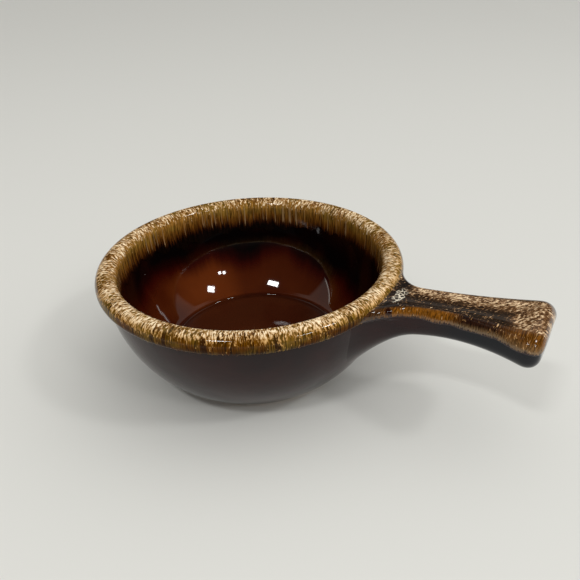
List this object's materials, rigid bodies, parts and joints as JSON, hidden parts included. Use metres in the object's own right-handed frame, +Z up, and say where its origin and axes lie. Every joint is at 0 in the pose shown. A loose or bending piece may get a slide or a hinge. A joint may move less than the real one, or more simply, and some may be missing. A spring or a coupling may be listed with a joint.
{
  "type": "soup bowl with a stick handle",
  "caption": "Round stoneware soup bowl with a rolled rim, a foot ring and one flared stick handle, brown inside and out, with frothy tan drip glaze on the rim and handle.",
  "frame": {"origin": "where the bowl's axis meets the table, in the middle of the foot ring", "axes": "+Z up along the bowl's axis, +X along the handle from the bowl to the handle's end, +Y to the left of the handle"},
  "size_m": [0.191, 0.133, 0.0556],
  "materials": {
    "bare_clay": "dry fired buff stoneware",
    "handle_clay": "dry fired buff stoneware",
    "inside_brown_glaze": "glossy red-brown",
    "outside_brown_glaze": "glossy dark brown",
    "base_brown_glaze": "glossy dark brown",
    "handle_brown_glaze": "glossy dark brown",
    "rim_froth_glaze": "glossy, mottled cream, honey and brown",
    "handle_froth_glaze": "glossy, mottled cream, honey and brown"
  },
  "bodies": {
    "root": {"bowl_body": "bare_clay", "handle": "handle_clay", "inside_glaze": "inside_brown_glaze", "outside_glaze": "outside_brown_glaze", "base_glaze": "base_brown_glaze", "handle_glaze": "handle_brown_glaze", "rim_drip_glaze": "rim_froth_glaze", "handle_drip_glaze": "handle_froth_glaze"}
  },
  "joints": []
}
